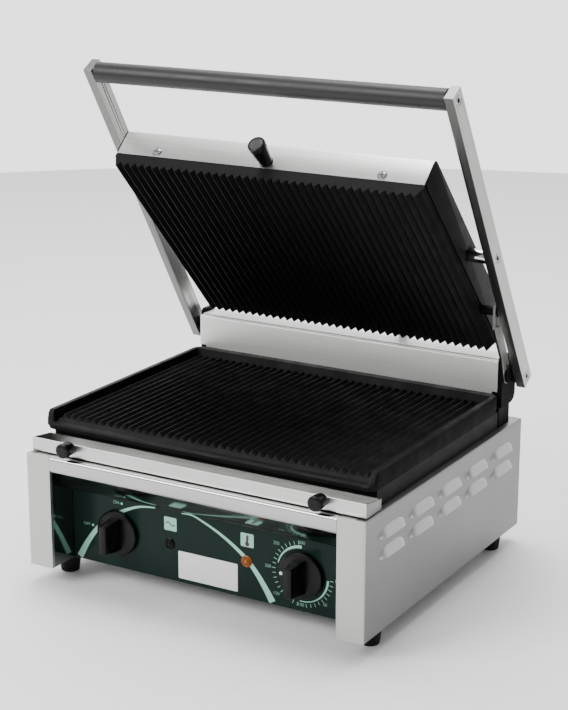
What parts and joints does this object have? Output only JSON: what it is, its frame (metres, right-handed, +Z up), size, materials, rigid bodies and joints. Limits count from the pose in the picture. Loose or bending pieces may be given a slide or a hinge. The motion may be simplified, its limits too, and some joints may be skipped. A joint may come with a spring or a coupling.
{
  "type": "panini press",
  "caption": "Electric contact grill: ribbed cast plate on a sheet-metal casing with a floating ribbed head on hinged arms, knob controls and a drip tray.",
  "frame": {"origin": "on the floor under the middle of the machine, open lid included", "axes": "+Z up, +X to the operator's right, +Y from the operator towards the hinge"},
  "size_m": [0.434, 0.388, 0.5424],
  "materials": {
    "stainless": "brushed stainless sheet",
    "polished": "bright bent stainless sheet",
    "cast_black": "black enamelled cast iron",
    "black_paint": "black painted steel",
    "chrome_pin": "chromed steel",
    "steel": "plain steel fastener",
    "black_plastic": "black moulded plastic",
    "grey_cap": "grey plastic cap",
    "rubber_foot": "black rubber",
    "label_green": "glossy dark green label film",
    "badge_white": "blank white plate",
    "green_lens": "dark green lens",
    "amber_lens": "amber lens",
    "wool": "mineral wool board",
    "element": "sheathed heating element",
    "terminal": "porcelain terminal block",
    "conduit_sleeve": "flexible metal conduit"
  },
  "bodies": {
    "base": {"left_side_panel": "stainless", "right_side_panel": "stainless", "front_panel": "polished", "control_label": "label_green", "badge_plate": "badge_white", "rear_panel": "stainless", "bottom_plate": "stainless", "top_deck": "stainless", "feet": "rubber_foot", "foot_screws": "steel", "lower_plate": "cast_black", "plate_skirt": "black_paint", "lower_insulation": "wool", "lower_heater": "element", "hinge_box": "stainless", "left_hinge_bracket": "cast_black", "right_hinge_bracket": "cast_black", "lid_springs": "steel", "stay_pivot": "chrome_pin", "switch_body": "black_plastic", "thermostat_body": "black_plastic", "green_lamp": "green_lens", "amber_lamp": "amber_lens", "thermostat_probe": "steel", "terminal_block": "terminal", "cable_inlet": "black_plastic", "casing_screws": "steel", "base_conduit_gland": "steel", "conduit_lower": "conduit_sleeve"},
    "lid_frame": {"left_arm": "stainless", "right_arm": "stainless", "hinge_screws": "steel", "pivot_screws": "steel", "handle_screws": "steel", "hinge_shaft": "steel", "handle_rod": "steel", "handle_grip": "black_plastic", "pivot_pins": "chrome_pin"},
    "upper_head": {"upper_plate": "cast_black", "left_head_wall": "black_paint", "right_head_wall": "black_paint", "head_cover": "stainless", "upper_insulation": "wool", "upper_heater": "element", "cover_screws": "steel", "lid_knob": "black_plastic", "lid_knob_cap": "grey_cap", "stay_guide_pin": "black_paint", "head_conduit_gland": "steel", "conduit_upper": "conduit_sleeve"},
    "stay": {"stay": "stainless"},
    "drip_tray": {"drip_tray": "stainless", "tray_knobs": "black_plastic"},
    "switch_knob": {"switch_knob": "black_plastic"},
    "thermostat_knob": {"thermostat_knob": "black_plastic"}
  },
  "joints": [
    {"name": "lid_hinge", "type": "hinge", "parent": "base", "child": "lid_frame", "pos_m": [0, 0.1624, 0.2041], "axis": [1, 0, 0], "range_deg": [0, 55]},
    {"name": "plate_tilt", "type": "hinge", "parent": "lid_frame", "child": "upper_head", "pos_m": [0, 0.07175, 0.35379], "axis": [1, 0, 0], "range_deg": [-8.2, 0], "deforming": ["conduit_upper", "conduit_lower"]},
    {"name": "stay_pivot", "type": "hinge", "parent": "base", "child": "stay", "pos_m": [0.2, 0.14, 0.207], "axis": [1, 0, 0], "range_deg": [0, 74.5]},
    {"name": "tray_slide", "type": "slide", "parent": "base", "child": "drip_tray", "axis": [0, -1, 0], "range_m": [0, 0.06]},
    {"name": "switch_turn", "type": "hinge", "parent": "base", "child": "switch_knob", "pos_m": [-0.1125, -0.15, 0.0605], "axis": [0, 1, 0], "range_deg": [-90, 0]},
    {"name": "thermostat_turn", "type": "hinge", "parent": "base", "child": "thermostat_knob", "pos_m": [0.1125, -0.15, 0.0605], "axis": [0, 1, 0], "range_deg": [-167, 98]}
  ],
  "couplings": [
    {"joint": "plate_tilt", "follows": "lid_hinge", "ratio": -0.1473},
    {"joint": "stay_pivot", "follows": "lid_hinge", "ratio": 1.345}
  ]
}
